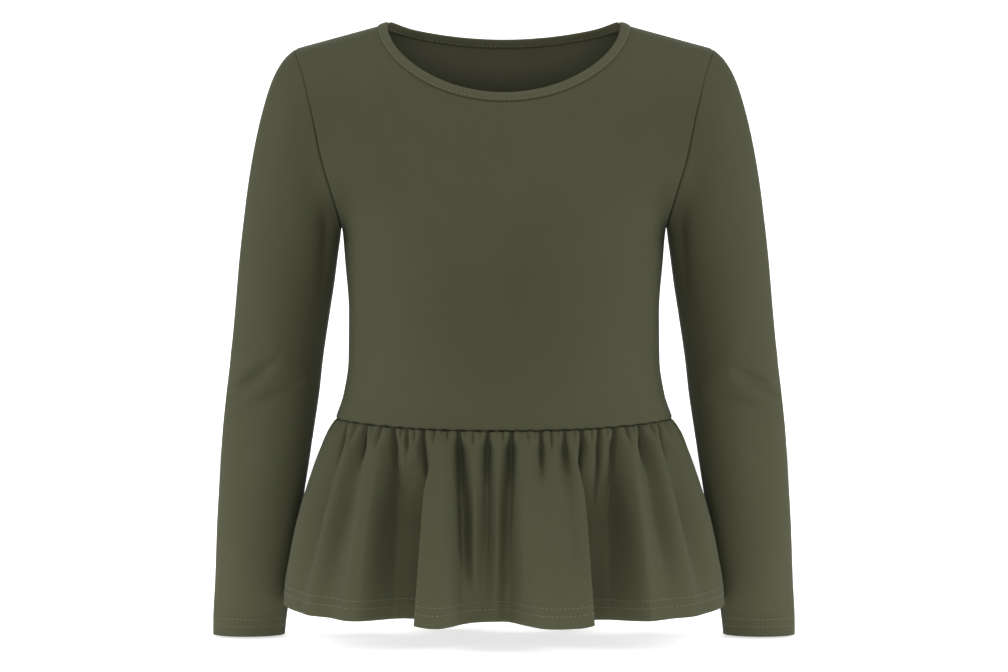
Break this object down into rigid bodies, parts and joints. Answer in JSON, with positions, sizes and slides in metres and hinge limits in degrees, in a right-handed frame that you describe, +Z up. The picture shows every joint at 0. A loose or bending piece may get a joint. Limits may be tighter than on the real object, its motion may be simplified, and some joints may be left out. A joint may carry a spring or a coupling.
{
  "type": "pullover sweater with a gathered peplum, held up by the wearer's shoulders",
  "caption": "Long-sleeved scoop-neck jersey pullover with a gathered flounce below the waist seam, filled out as worn, hollow and open at neck, cuffs and hem.",
  "frame": {"origin": "midway between the two neck points, level with the top of the neck binding, above the shoulder seams", "axes": "+Z up, -Y to the front of the garment, +X to the wearer's left"},
  "size_m": [0.588, 0.2946, 0.6149],
  "materials": {
    "jersey": "fine plain jersey, matt with a soft sheen",
    "binding_jersey": "the same jersey, folded as a flat binding"
  },
  "bodies": {
    "root": {"bodice_front": "jersey", "bodice_back": "jersey", "sleeve_left": "jersey", "sleeve_right": "jersey", "neck_binding": "binding_jersey", "flounce_front": "jersey", "flounce_back": "jersey"}
  },
  "joints": []
}
